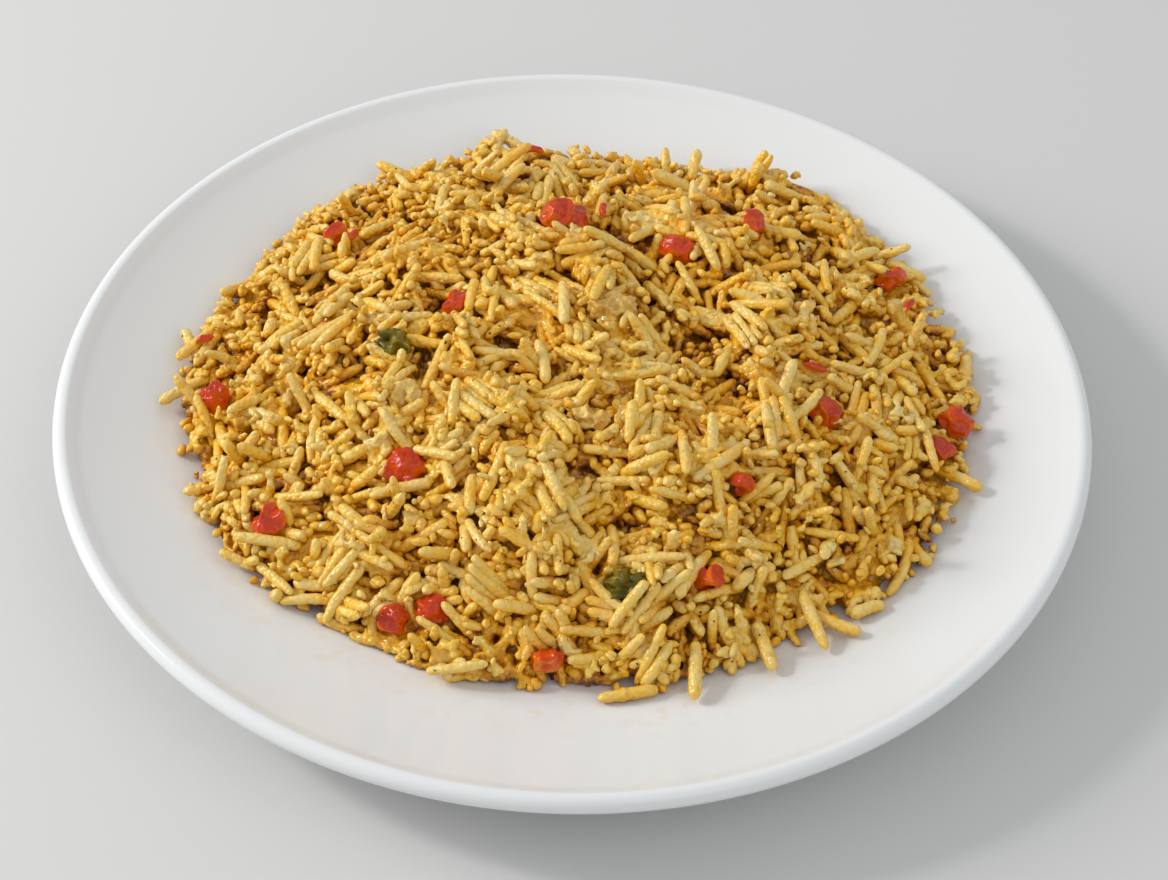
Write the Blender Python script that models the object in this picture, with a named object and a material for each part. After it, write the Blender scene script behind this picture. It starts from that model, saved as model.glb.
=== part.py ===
"""Coconut rice with diced tomato, heaped on a round white coupe plate.

Metres, +Z up. The origin is the middle of the plate's foot, on the table, and
+Y points to the back of the serving. The plate is one turned solid. The heap of
rice is another: a low dome of packed rice with the grains that show fused on.
Every larger piece of tomato, chilli and onion is a solid of its own, which
rests on the packed rice between the grains.
"""

import math
import random

import bmesh
import bpy
from mathutils import Matrix, Vector, noise
from mathutils.geometry import delaunay_2d_cdt

MM = 0.001

# Plate: porcelain, with a flat floor that curves up to a rolled lip
PLATE_RADIUS = 125 * MM
PLATE_HEIGHT = 24 * MM
PLATE_FLOOR_HEIGHT = 6.5 * MM
PLATE_FLOOR_RADIUS = 62 * MM
PLATE_RISE_POWER = 1.9
LIP_ROUNDING = 2.4 * MM
LIP_SLOPE = math.radians(28)
FOOT_RADIUS = 76 * MM
FOOT_WIDTH = 3.4 * MM
FOOT_RECESS = 1.8 * MM
FOOT_ROUNDING = 0.7 * MM
AROUND = 48

# Heap of rice: its outline is a circle with a few lobes, (turns, size, angle of the first crest)
HEAP_RADIUS = 93 * MM
HEAP_LOBES = ((1, 9.4 * MM, 84), (2, 3.4 * MM, 12), (5, 0.9 * MM, -95), (9, 1.0 * MM, 100))
HEAP_EDGE = 4.6 * MM
HEAP_RISE = 25.5 * MM
HEAP_POWER = 3.0
HEAP_POINTS = 640
GAP = 0.4 * MM

# Clumps that the rice sticks together in: size across, height and seed of each scale
CLUMPS = ((22 * MM, 4.6 * MM, 0.0), (10 * MM, 4.4 * MM, 5.0))

# Rises and hollows of the heap: x, y, radius and height, in mm
MOUNDS = (
    (-25, 92, 9, 4.5),
    (54, 82, 8, 3.5),
    (52, 33, 12, 3.5),
    (-52, -2, 15, 2.0),
    (-10, 2, 10, 2.0),
    (32, -32, 10, 2.5),
    (62, -30, 9, 2.5),
    (-12, 42, 14, 2.0),
    (22, 28, 9, -4.0),
    (18, 5, 8, -3.0),
    (3, -12, 6, -4.0),
    (62, -2, 8, -3.5),
    (4, -53, 7, -3.0),
    (44, -60, 8, -3.5),
    (-33, -63, 9, -2.5),
    (12, 80, 9, -2.5),
)

# Grains: long-grain rice as cooked
GRAIN_COUNT = 168
GRAIN_LENGTHS = (9.0 * MM, 15.5 * MM)
GRAIN_RADII = (1.35 * MM, 1.7 * MM)
GRAIN_SIDES = 5
GRAIN_BEND = 0.16
GRAIN_LIFT = 0.55 * MM
GRAIN_TILT = 16
GOLDEN_ANGLE = math.pi * (3 - math.sqrt(5))

# Grains that reach past the heap's edge, in mm: tip x, y and height over the plate, direction it
# points in, length, rise in degrees
EDGE_GRAINS = (
    (-98, 25, 3.5, 118, 13, 8),
    (-101, 0, 2.4, 215, 14, -4),
    (-54, 87, 6.5, 158, 12, 12),
    (-92, -28, 2.2, 192, 12, 0),
    (-24, 100, 7.5, 150, 12, 10),
    (-20, 100, 8.5, 60, 11, 12),
    (97, 20, 7.0, 82, 13, 35),
    (98, -22, 2.8, -28, 15, 0),
    (73, 69, 6.5, 45, 12, 12),
    (54, 87, 7.5, 62, 11, 15),
    (31, 96, 7.0, 80, 10, 18),
    (76, -47, 2.4, -68, 15, -8),
    (84, -45, 2.0, -58, 12, -2),
    (73, -56, 1.8, 26, 9, 0),
    (67, -66, 1.8, -27, 13, 0),
    (59, -71, 2.0, -70, 16, -12),
    (47, -77, 2.0, -73, 13, -8),
    (29, -86, 2.0, -91, 15, -10),
    (23, -81, 2.2, -55, 17, -14),
    (21, -82, 1.8, 13, 14, 0),
    (-26, -81, 1.8, -63, 11, 0),
    (-45, -69, 3.0, -107, 16, -18),
    (-64, -60, 2.2, -120, 11, -6),
)

# Pieces on the rice, in mm: x, y, length, width, height above the packed rice, turn in degrees
TOMATO = (
    (-38, -32.5, 11, 10, 4.4, 60),
    (-3.5, 49, 12, 10.5, 3.8, 15),
    (25, 42.5, 9.5, 6.5, 3.4, -15),
    (-62, 53.5, 6, 5.5, 3.4, 0),
    (-29, 17, 7.5, 6, 3.2, 35),
    (44, 52.5, 6, 6, 3.4, 0),
    (80, 47, 8.5, 4.8, 3.2, 15),
    (-86.5, -3, 7, 6, 3.6, 20),
    (-69.5, -42.5, 9, 8, 3.6, 60),
    (-39.5, -66.5, 7.5, 6.5, 3.6, 10),
    (-30.5, -65, 8.5, 7.5, 4.0, 35),
    (32.5, -59, 6, 5.5, 3.6, 0),
    (39, -37.5, 6, 4, 3.2, -10),
    (60, -10.8, 9.5, 6.5, 3.2, 25),
    (93, -2.5, 8.5, 5.8, 4.0, -20),
    (88, -13, 7, 6.5, 3.8, 40),
    (-4, -77.5, 7.5, 5, 3.6, 10),
)
CHILLI = (
    (12.8, -63.5, 9.5, 8, 3.6, 35),
    (-43.5, 2, 7.5, 6, 2.8, -20),
)
ONION = (
    (9, 16, 11.5, 8.8, 3.8, 10),
    (-39.7, -14.5, 7.5, 6.8, 3.4, 40),
    (4.4, -19, 11, 4.8, 3.2, -5),
)
PIECE_ROUGHNESS = 0.16
PIECE_SQUARENESS = 0.78
PIECE_REACH = 0.62

# Shreds of tomato skin that are stuck to the rice, in mm: x, y, length, turn in degrees
SHREDS = (
    (83.5, 32.5, 4.5, 60),
    (-91.5, 18, 4.5, 10),
    (6.5, 53, 5.0, 90),
    (-56.5, 50, 4.5, 70),
    (-12.5, 88, 5.5, 0),
    (58, 3, 6.0, -5),
    (25.5, -60.5, 3.5, 20),
)


def clear_scene():
    for old in list(bpy.data.objects):
        bpy.data.objects.remove(old, do_unlink=True)


def material(name, colour, roughness):
    """A plain non-metal finish."""
    made = bpy.data.materials.new(name)
    made.use_nodes = True
    surface = made.node_tree.nodes["Principled BSDF"]
    surface.inputs["Base Color"].default_value = (*colour, 1)
    surface.inputs["Roughness"].default_value = roughness
    surface.inputs["Metallic"].default_value = 0
    return made


def add_object(name, mesh, finish, collection=None):
    made = bpy.data.objects.new(name, mesh)
    if finish:
        mesh.materials.append(finish)
    (collection or bpy.context.scene.collection).objects.link(made)
    return made


def plate_top(radius):
    """Height of the plate's upper surface at a distance from its middle."""
    run = PLATE_RADIUS - LIP_ROUNDING - PLATE_FLOOR_RADIUS
    rise = PLATE_HEIGHT - LIP_ROUNDING * (1 - math.cos(LIP_SLOPE)) - PLATE_FLOOR_HEIGHT
    share = max(0.0, (radius - PLATE_FLOOR_RADIUS) / run)
    return PLATE_FLOOR_HEIGHT + rise * share**PLATE_RISE_POWER


def plate_rings():
    """Distances from the middle at which the plate's floor and wall have their rings."""
    steps = 5
    last = PLATE_RADIUS - LIP_ROUNDING * (1 + math.sin(LIP_SLOPE))
    wall = [PLATE_FLOOR_RADIUS + (last - PLATE_FLOOR_RADIUS) * i / steps for i in range(steps)]
    return [PLATE_FLOOR_RADIUS / 2, *wall]


def plate_profile():
    """The plate's section as (radius, height), from the axis over the lip to the axis again."""
    points = [(0.0, PLATE_FLOOR_HEIGHT)]
    points += [(r, plate_top(r)) for r in plate_rings()]
    middle = (PLATE_RADIUS - LIP_ROUNDING, PLATE_HEIGHT - LIP_ROUNDING)
    arc_steps = 5
    for i in range(arc_steps + 1):
        angle = math.pi / 2 + LIP_SLOPE - math.pi * i / arc_steps
        points.append((middle[0] + LIP_ROUNDING * math.cos(angle), middle[1] + LIP_ROUNDING * math.sin(angle)))
    under = [r for r in plate_rings() if r > FOOT_RADIUS + 2 * MM]
    for r in reversed(under):
        points.append((r, plate_top(r) - 2 * LIP_ROUNDING / math.cos(LIP_SLOPE / 2)))
    foot_top = plate_top(FOOT_RADIUS) - 2 * LIP_ROUNDING
    inner = FOOT_RADIUS - FOOT_WIDTH
    points += [
        (FOOT_RADIUS + FOOT_ROUNDING, foot_top),
        (FOOT_RADIUS, FOOT_ROUNDING),
        (FOOT_RADIUS - FOOT_ROUNDING, 0.0),
        (inner + FOOT_ROUNDING, 0.0),
        (inner, FOOT_ROUNDING),
        (inner - FOOT_ROUNDING, FOOT_RECESS),
        (0.0, FOOT_RECESS),
    ]
    return points


def make_plate():
    """The plate, turned from its section by a Screw."""
    points = plate_profile()
    mesh = bpy.data.meshes.new("plate")
    mesh.from_pydata([(r, 0, z) for r, z in points], [(i, i + 1) for i in range(len(points) - 1)], [])
    plate = add_object("plate", mesh, material("white glaze", (0.86, 0.87, 0.87), 0.12))
    turn = plate.modifiers.new("turn", "SCREW")
    turn.angle = 2 * math.pi
    turn.steps = turn.render_steps = AROUND
    turn.use_merge_vertices = True
    turn.merge_threshold = 0.00005
    turn.use_smooth_shade = True
    return plate


def heap_radius(angle):
    """Distance from the plate's middle to the packed rice's outline."""
    return HEAP_RADIUS + sum(
        size * math.cos(turns * angle - math.radians(crest)) for turns, size, crest in HEAP_LOBES
    )


def heap_top(x, y):
    """Height of the packed rice's surface."""
    radius = math.hypot(x, y)
    share = min(1.0, radius / heap_radius(math.atan2(y, x)))
    height = plate_top(radius) + HEAP_EDGE + HEAP_RISE * (1 - share**HEAP_POWER)
    for mound_x, mound_y, size, rise in MOUNDS:
        away = math.hypot(x - mound_x * MM, y - mound_y * MM) / (size * MM)
        height += rise * MM * math.exp(-away * away / 2)
    clumps = sum(rise * noise.noise(Vector((x / size, y / size, seed))) for size, rise, seed in CLUMPS)
    return height + (1 - share**8) * clumps


def heap_normal(x, y):
    step = 2 * MM
    slope_x = (heap_top(x + step, y) - heap_top(x - step, y)) / (2 * step)
    slope_y = (heap_top(x, y + step) - heap_top(x, y - step)) / (2 * step)
    return Vector((-slope_x, -slope_y, 1)).normalized()


def sunflower(count, outline, margin):
    """Points spread evenly over the heap's plan, from the middle out."""
    for i in range(count):
        angle = i * GOLDEN_ANGLE
        radius = (outline(angle) - margin) * math.sqrt((i + 0.5) / count)
        yield radius * math.cos(angle), radius * math.sin(angle)


def packed_rice_mesh(lift=0.0):
    """The heap without its loose grains: a bumpy top on an underside that follows the plate."""
    shape = bmesh.new()
    angles = [2 * math.pi * i / AROUND for i in range(AROUND)]
    rim = [Vector((math.cos(a), math.sin(a))) * heap_radius(a) for a in angles]
    inner = [Vector(p) for p in sunflower(HEAP_POINTS, heap_radius, 3.2 * MM)]
    border = [(i, (i + 1) % AROUND) for i in range(AROUND)]
    plan, _, cells, *_ = delaunay_2d_cdt(rim + inner, border, [list(range(AROUND))], 1, 1e-7)
    top = [shape.verts.new((p.x, p.y, heap_top(p.x, p.y) + lift)) for p in plan]
    for cell in cells:
        shape.faces.new([top[i] for i in cell])
    edge = [top[min(range(len(plan)), key=lambda i: (plan[i] - p).length)] for p in rim]

    def ring(radii):
        return [
            shape.verts.new((r * math.cos(a), r * math.sin(a), plate_top(r) + GAP))
            for r, a in zip(radii, angles)
        ]

    rings = [edge, ring([heap_radius(a) for a in angles])]
    narrowest = min(heap_radius(a) for a in angles)
    for radius in reversed([r for r in plate_rings() if r < narrowest - 1 * MM]):
        rings.append(ring([radius] * AROUND))
    for outer, within in zip(rings, rings[1:]):
        for i in range(AROUND):
            j = (i + 1) % AROUND
            shape.faces.new((outer[j], outer[i], within[i], within[j]))
    middle = shape.verts.new((0, 0, PLATE_FLOOR_HEIGHT + GAP))
    for i in range(AROUND):
        shape.faces.new((rings[-1][(i + 1) % AROUND], rings[-1][i], middle))
    bmesh.ops.recalc_face_normals(shape, faces=shape.faces)
    mesh = bpy.data.meshes.new("packed rice")
    shape.to_mesh(mesh)
    shape.free()
    return mesh


def grain_mesh(length, radius, bend):
    """One cooked grain along X: a five-sided spindle with blunt tips, bent a little."""
    shape = bmesh.new()
    stations = ((-0.38, 0.78), (0.0, 1.0), (0.38, 0.74))
    rings = []
    for place, width in stations:
        sag = bend * length * (0.5 - 4 * place * place * 0.5)
        rings.append([
            shape.verts.new((
                place * length,
                sag + radius * width * math.cos(2 * math.pi * i / GRAIN_SIDES),
                radius * width * math.sin(2 * math.pi * i / GRAIN_SIDES),
            ))
            for i in range(GRAIN_SIDES)
        ])
    for left, right in zip(rings, rings[1:]):
        for i in range(GRAIN_SIDES):
            j = (i + 1) % GRAIN_SIDES
            shape.faces.new((left[i], left[j], right[j], right[i]))
    tip_sag = -0.4 * bend * length
    for tip_x, ring in ((-length / 2, rings[0]), (length / 2, rings[-1])):
        tip = shape.verts.new((tip_x, tip_sag, 0))
        for i in range(GRAIN_SIDES):
            shape.faces.new((ring[i], ring[(i + 1) % GRAIN_SIDES], tip))
    bmesh.ops.recalc_face_normals(shape, faces=shape.faces)
    mesh = bpy.data.meshes.new("grain")
    shape.to_mesh(mesh)
    shape.free()
    return mesh


def piece_places():
    """(name, centre on the packed rice, reach) of every piece of vegetable."""
    for kind, pieces in (("tomato", TOMATO), ("chilli", CHILLI), ("onion", ONION)):
        for number, (x, y, length, width, height, turn) in enumerate(pieces, 1):
            at = Vector((x * MM, y * MM, heap_top(x * MM, y * MM)))
            yield f"{kind}_{number}", kind, at, (length * MM, width * MM, height * MM), turn


def lie_on_heap(at, turn, tilt, lift):
    """Where a piece lies that points along turn (radians) on the heap's surface."""
    normal = heap_normal(at.x, at.y)
    along = Vector((math.cos(turn), math.sin(turn), 0))
    along = (along - normal * along.dot(normal)).normalized()
    across = normal.cross(along)
    basis = Matrix((along, across, normal)).transposed().to_4x4()
    return Matrix.Translation(at + normal * lift) @ basis @ Matrix.Rotation(-tilt, 4, "Y")


def clear_of_pieces(mesh, place, reach):
    corners = [place @ v.co for v in mesh.vertices]
    for _, _, at, size, _ in piece_places():
        limit = max(size[0], size[1]) * PIECE_REACH + reach
        if any((corner - at).length < limit for corner in corners):
            return False
    return True


def above_plate(mesh, place):
    """How far a shape has to rise to be clear of the plate."""
    corners = [place @ v.co for v in mesh.vertices]
    return max(0.0, max(plate_top(math.hypot(c.x, c.y)) + 1.5 * GAP - c.z for c in corners))


def scatter_grains(collection):
    """Grains spread evenly over the heap, each turned, tilted, long and bent at random."""
    draw = random.Random(8)
    for x, y in sunflower(GRAIN_COUNT, heap_radius, -0.5 * MM):
        at = Vector((x, y, heap_top(x, y)))
        mesh = grain_mesh(
            draw.uniform(*GRAIN_LENGTHS), draw.uniform(*GRAIN_RADII), draw.uniform(-GRAIN_BEND, GRAIN_BEND)
        )
        turn = draw.uniform(0, 2 * math.pi)
        tilt = math.radians(draw.gauss(0, GRAIN_TILT))
        place = lie_on_heap(at, turn, tilt, GRAIN_LIFT)
        place.translation.z += above_plate(mesh, place)
        if clear_of_pieces(mesh, place, GAP):
            add_object("grain", mesh, None, collection).matrix_world = place


def place_edge_grains(collection):
    """The grains that reach out over the plate, rooted in the heap's edge."""
    for x, y, above, heading, length, rise in EDGE_GRAINS:
        heading, rise = math.radians(heading), math.radians(rise)
        level = Vector((math.cos(heading), math.sin(heading), 0))
        along = level * math.cos(rise) + Vector((0, 0, math.sin(rise)))
        across = Vector((-math.sin(heading), math.cos(heading), 0))
        tip = Vector((x, y, above)) * MM
        tip.z += plate_top(math.hypot(tip.x, tip.y))
        mesh = grain_mesh(length * MM, GRAIN_RADII[0], GRAIN_BEND / 2)
        basis = Matrix((along, across, along.cross(across))).transposed().to_4x4()
        place = Matrix.Translation(tip - along * length / 2 * MM) @ basis
        place.translation.z += above_plate(mesh, place)
        if clear_of_pieces(mesh, place, -0.8 * MM):
            add_object("grain", mesh, None, collection).matrix_world = place


def scatter_shreds(collection):
    """The shreds of tomato skin, which stick to the rice as the grains do."""
    for x, y, length, turn in SHREDS:
        at = Vector((x * MM, y * MM, heap_top(x * MM, y * MM)))
        mesh = grain_mesh(length * MM, GRAIN_RADII[1], 0)
        place = lie_on_heap(at, math.radians(turn), 0, GRAIN_LIFT * 1.5)
        place.translation.z += above_plate(mesh, place)
        add_object("shred", mesh, None, collection).matrix_world = place


def evaluated_mesh(obj):
    bpy.context.view_layer.update()
    graph = bpy.context.evaluated_depsgraph_get()
    return bpy.data.meshes.new_from_object(obj.evaluated_get(graph))


def keep_outer_skin(mesh):
    """Keeps the largest shell, so that sealed hollows are filled and loose scraps dropped."""
    shape = bmesh.new()
    shape.from_mesh(mesh)
    bmesh.ops.triangulate(shape, faces=shape.faces)
    waiting = set(shape.faces)
    shells = []
    while waiting:
        shell = []
        edge_of_search = [waiting.pop()]
        while edge_of_search:
            face = edge_of_search.pop()
            shell.append(face)
            for edge in face.edges:
                for other in edge.link_faces:
                    if other in waiting:
                        waiting.remove(other)
                        edge_of_search.append(other)
        shells.append(shell)
    shells.sort(key=len)
    scraps = [face for shell in shells[:-1] for face in shell]
    bmesh.ops.delete(shape, geom=scraps, context="FACES")
    shape.to_mesh(mesh)
    shape.free()
    return mesh


def make_rice():
    """The packed rice with the grains that show fused on by one Boolean."""
    finish = material("coconut rice", (0.72, 0.46, 0.13), 0.5)
    rice = add_object("coconut_rice", packed_rice_mesh(), finish)
    loose = bpy.data.collections.new("loose grains")
    bpy.context.scene.collection.children.link(loose)
    scatter_grains(loose)
    place_edge_grains(loose)
    scatter_shreds(loose)
    join = rice.modifiers.new("fuse grains", "BOOLEAN")
    join.operation = "UNION"
    join.operand_type = "COLLECTION"
    join.collection = loose
    join.solver = "MANIFOLD"
    fused = evaluated_mesh(rice)
    rice.modifiers.clear()
    rice.data = keep_outer_skin(fused)
    for grain in list(loose.objects):
        bpy.data.objects.remove(grain, do_unlink=True)
    bpy.data.collections.remove(loose)
    return rice


def piece_mesh(size, seed):
    """A diced piece: a rounded block with uneven faces."""
    shape = bmesh.new()
    bmesh.ops.create_icosphere(shape, subdivisions=2, radius=1)
    for vert in shape.verts:
        block = Vector([math.copysign(abs(c) ** PIECE_SQUARENESS, c) for c in vert.co])
        uneven = 1 + PIECE_ROUGHNESS * noise.noise(vert.co * 1.4 + Vector((seed * 3.7, 0, 0)))
        vert.co = Vector([c * uneven * side / 2 for c, side in zip(block, size)])
    mesh = bpy.data.meshes.new("piece")
    shape.to_mesh(mesh)
    shape.free()
    return mesh


def make_pieces(plate):
    """The pieces of vegetable, each trimmed underneath so that it rests on the packed rice."""
    finishes = {
        "tomato": material("tomato", (0.55, 0.035, 0.012), 0.25),
        "chilli": material("green chilli", (0.10, 0.13, 0.02), 0.3),
        "onion": material("onion", (0.62, 0.44, 0.20), 0.3),
    }
    bed = add_object("bed", packed_rice_mesh(lift=1.3 * GAP), None)
    tray = add_object("tray", evaluated_mesh(plate), None)
    tray.location.z = 1.3 * GAP
    for seed, (name, kind, at, size, turn) in enumerate(piece_places()):
        length, width, height = size
        mesh = piece_mesh((length, width, 2 * height), seed)
        piece = add_object(name, mesh, finishes[kind])
        place = lie_on_heap(at, math.radians(turn), 0, 0)
        piece.location, piece.rotation_euler = place.to_translation(), place.to_euler()
        for support in (bed, tray):
            trim = piece.modifiers.new("rest on " + support.name, "BOOLEAN")
            trim.operation = "DIFFERENCE"
            trim.object = support
        trimmed = evaluated_mesh(piece)
        piece.modifiers.clear()
        piece.data = keep_outer_skin(trimmed)
    bpy.data.objects.remove(bed, do_unlink=True)
    bpy.data.objects.remove(tray, do_unlink=True)


def main():
    clear_scene()
    plate = make_plate()
    make_rice()
    make_pieces(plate)


main()
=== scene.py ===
"""Coconut rice with diced tomato, chilli and onion, heaped on a white coupe plate."""

import math

import bmesh
import bpy
import numpy as np
from mathutils import Matrix, Vector, noise


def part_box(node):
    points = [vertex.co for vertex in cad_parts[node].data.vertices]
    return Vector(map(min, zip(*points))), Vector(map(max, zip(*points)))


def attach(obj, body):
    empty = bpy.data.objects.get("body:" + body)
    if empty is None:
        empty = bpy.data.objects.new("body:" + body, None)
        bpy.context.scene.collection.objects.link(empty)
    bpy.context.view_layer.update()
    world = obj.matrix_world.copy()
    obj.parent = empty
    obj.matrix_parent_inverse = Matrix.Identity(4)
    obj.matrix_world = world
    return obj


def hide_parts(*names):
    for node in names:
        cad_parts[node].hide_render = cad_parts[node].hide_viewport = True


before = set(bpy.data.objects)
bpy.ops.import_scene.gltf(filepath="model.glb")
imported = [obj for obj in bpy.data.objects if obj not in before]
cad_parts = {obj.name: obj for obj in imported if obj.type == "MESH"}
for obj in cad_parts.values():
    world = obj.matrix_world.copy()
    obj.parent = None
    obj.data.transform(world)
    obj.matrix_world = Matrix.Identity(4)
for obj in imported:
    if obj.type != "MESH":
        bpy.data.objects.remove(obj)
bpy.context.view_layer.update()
MM = 0.001


# ---------------------------------------------------------------- plate
# A round coupe plate of white porcelain: a flat floor that curves up to a rolled
# lip, on a low foot ring. It is turned on a wheel, dipped in clear glaze and fired.

PLATE_FLOOR_HEIGHT = 6.5 * MM
PLATE_FLOOR_RADIUS = 62 * MM
PLATE_RISE_POWER = 1.9
LIP_ROUNDING = 2.4 * MM
LIP_SLOPE = math.radians(28)
FOOT_RADIUS = 76 * MM
FOOT_WIDTH = 3.4 * MM
FOOT_RECESS = 1.8 * MM
FOOT_ROUNDING = 0.7 * MM
PLATE_TURNS = 192
GLAZE_COLOUR = (0.78, 0.79, 0.79, 1)
SAUCE_COLOUR = (0.72, 0.47, 0.14, 1)

_, plate_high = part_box("plate")
PLATE_RADIUS = plate_high.x
PLATE_HEIGHT = plate_high.z


def plate_top(radius):
    """Height of the plate's upper surface at a distance from its middle."""
    run = PLATE_RADIUS - LIP_ROUNDING - PLATE_FLOOR_RADIUS
    rise = PLATE_HEIGHT - LIP_ROUNDING * (1 - math.cos(LIP_SLOPE)) - PLATE_FLOOR_HEIGHT
    share = np.maximum(0.0, (radius - PLATE_FLOOR_RADIUS) / run)
    return PLATE_FLOOR_HEIGHT + rise * share**PLATE_RISE_POWER


def plate_section():
    """The plate's section as (radius, height), from the axis over the lip to the axis again."""
    last = PLATE_RADIUS - LIP_ROUNDING * (1 + math.sin(LIP_SLOPE))
    floor_and_wall = np.concatenate([
        np.linspace(0, PLATE_FLOOR_RADIUS, 8, endpoint=False),
        np.linspace(PLATE_FLOOR_RADIUS, last, 30, endpoint=False),
    ])
    points = [(r, float(plate_top(r))) for r in floor_and_wall]
    lip_r, lip_z = PLATE_RADIUS - LIP_ROUNDING, PLATE_HEIGHT - LIP_ROUNDING
    for angle in np.linspace(math.pi / 2 + LIP_SLOPE, -math.pi / 2, 20):
        points.append((lip_r + LIP_ROUNDING * math.cos(angle), lip_z + LIP_ROUNDING * math.sin(angle)))
    wall = 2 * LIP_ROUNDING / math.cos(LIP_SLOPE / 2)
    for r in np.linspace(last - 2 * MM, FOOT_RADIUS + 3 * MM, 16):
        points.append((r, float(plate_top(r)) - wall))
    inner = FOOT_RADIUS - FOOT_WIDTH
    points += [
        (FOOT_RADIUS + FOOT_ROUNDING, float(plate_top(FOOT_RADIUS)) - wall),
        (FOOT_RADIUS + 0.2 * MM, 1.8 * MM),
        (FOOT_RADIUS, FOOT_ROUNDING),
        (FOOT_RADIUS - FOOT_ROUNDING, 0.0),
        (inner + FOOT_ROUNDING, 0.0),
        (inner, FOOT_ROUNDING),
        (inner - FOOT_ROUNDING, FOOT_RECESS),
        (inner - 4 * MM, FOOT_RECESS + 0.2 * MM),
        (0.0, FOOT_RECESS),
    ]
    return points


def plain_mesh(obj):
    """The object's mesh with its modifiers applied."""
    graph = bpy.context.evaluated_depsgraph_get()
    result = bpy.data.meshes.new_from_object(obj.evaluated_get(graph))
    obj.modifiers.clear()
    obj.data = result
    return obj


def add_piece(name, mesh, material, slot, *replaced):
    """A piece of the object that rides on its one body."""
    piece = bpy.data.objects.new(name, mesh)
    bpy.context.scene.collection.objects.link(piece)
    mesh.materials.clear()
    mesh.materials.append(material)
    mesh.polygons.foreach_set("use_smooth", [True] * len(mesh.polygons))
    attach(piece, "root")
    if replaced:
        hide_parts(*replaced)
    return piece


class Finish:
    """A node-based material, with short calls for the nodes that the pieces share."""

    def __init__(self, name):
        self.material = bpy.data.materials.new(name)
        self.material.use_nodes = True
        self.tree = self.material.node_tree
        self.shader = self.tree.nodes["Principled BSDF"]
        self.place = self.add("ShaderNodeTexCoord").outputs["Object"]

    def add(self, kind, **settings):
        node = self.tree.nodes.new(kind)
        for key, value in settings.items():
            setattr(node, key, value)
        return node

    def wire(self, source, target):
        if hasattr(source, "is_output"):
            self.tree.links.new(source, target)
        else:
            target.default_value = source

    def set(self, **values):
        for key, value in values.items():
            self.wire(value, self.shader.inputs[key.replace("_", " ").title().replace("Ior", "IOR")])

    def noise(self, size, detail=2.0, seed=0.0):
        """Noise whose blobs are about size metres wide."""
        node = self.add("ShaderNodeTexNoise")
        shifted = self.add("ShaderNodeVectorMath", operation="ADD")
        self.wire(self.place, shifted.inputs[0])
        shifted.inputs[1].default_value = (seed, -0.7 * seed, 0.4 * seed)
        self.wire(shifted.outputs[0], node.inputs["Vector"])
        node.inputs["Scale"].default_value = 0.5 / size
        node.inputs["Detail"].default_value = detail
        return node.outputs["Fac"]

    def cells(self, size):
        """Distance to the nearest of scattered points that lie about size metres apart, as a share."""
        node = self.add("ShaderNodeTexVoronoi")
        self.wire(self.place, node.inputs["Vector"])
        node.inputs["Scale"].default_value = 1 / size
        return node.outputs["Distance"]

    def attribute(self, name):
        return self.add("ShaderNodeAttribute", attribute_name=name).outputs["Fac"]

    def math(self, operation, a, b=0.5, c=0.5):
        node = self.add("ShaderNodeMath", operation=operation)
        for value, socket in zip((a, b, c), node.inputs):
            self.wire(value, socket)
        return node.outputs[0]

    def ramp(self, value, low, high, to_low=0.0, to_high=1.0):
        """Value rescaled from low..high to to_low..to_high, smoothly and held at the ends."""
        node = self.add("ShaderNodeMapRange", interpolation_type="SMOOTHSTEP")
        self.wire(value, node.inputs["Value"])
        for key, number in (
            ("From Min", low), ("From Max", high), ("To Min", to_low), ("To Max", to_high),
        ):
            node.inputs[key].default_value = number
        return node.outputs["Result"]

    def colours(self, value, *stops):
        """A colour ramp through (position, colour) stops."""
        node = self.add("ShaderNodeValToRGB")
        self.wire(value, node.inputs["Fac"])
        marks = node.color_ramp.elements
        while len(marks) < len(stops):
            marks.new(0.5)
        for mark, (position, colour) in zip(marks, stops):
            mark.position, mark.color = position, colour
        return node.outputs["Color"]

    def mix(self, factor, a, b):
        node = self.add("ShaderNodeMix", data_type="RGBA")
        for value, key in ((factor, "Factor_Float"), (a, "A_Color"), (b, "B_Color")):
            self.wire(value, next(s for s in node.inputs if s.identifier == key))
        return next(s for s in node.outputs if s.identifier == "Result_Color")

    def bump(self, height, depth, strength=1.0):
        """A surface normal from a height of 0 to 1 that stands for depth metres."""
        node = self.add("ShaderNodeBump")
        self.wire(height, node.inputs["Height"])
        node.inputs["Distance"].default_value = depth
        node.inputs["Strength"].default_value = strength
        return node.outputs["Normal"]


glaze = Finish("white glaze")
from_middle = glaze.add("ShaderNodeVectorMath", operation="LENGTH")
flat_place = glaze.add("ShaderNodeVectorMath", operation="MULTIPLY")
glaze.wire(glaze.place, flat_place.inputs[0])
flat_place.inputs[1].default_value = (1, 1, 0)
glaze.wire(flat_place.outputs[0], from_middle.inputs[0])
near_rice = glaze.ramp(from_middle.outputs["Value"], 88 * MM, 108 * MM, 1, 0)
film = glaze.ramp(glaze.noise(9 * MM, 3, seed=4.0), 0.54, 0.72)
drops = glaze.ramp(glaze.noise(2.2 * MM, 2, seed=2.0), 0.60, 0.66)
smear = glaze.math("MULTIPLY", near_rice, glaze.math("MAXIMUM", glaze.math("MULTIPLY", film, 0.35), drops))
glaze_tone = glaze.mix(glaze.noise(60 * MM), GLAZE_COLOUR, (0.76, 0.775, 0.78, 1))
glaze.set(
    base_color=glaze.mix(glaze.math("MULTIPLY", smear, 0.14), glaze_tone, SAUCE_COLOUR),
    roughness=glaze.ramp(glaze.noise(25 * MM, 3), 0.3, 0.7, 0.10, 0.17),
    normal=glaze.bump(glaze.noise(18 * MM, 1), 0.02 * MM),
)

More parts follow.
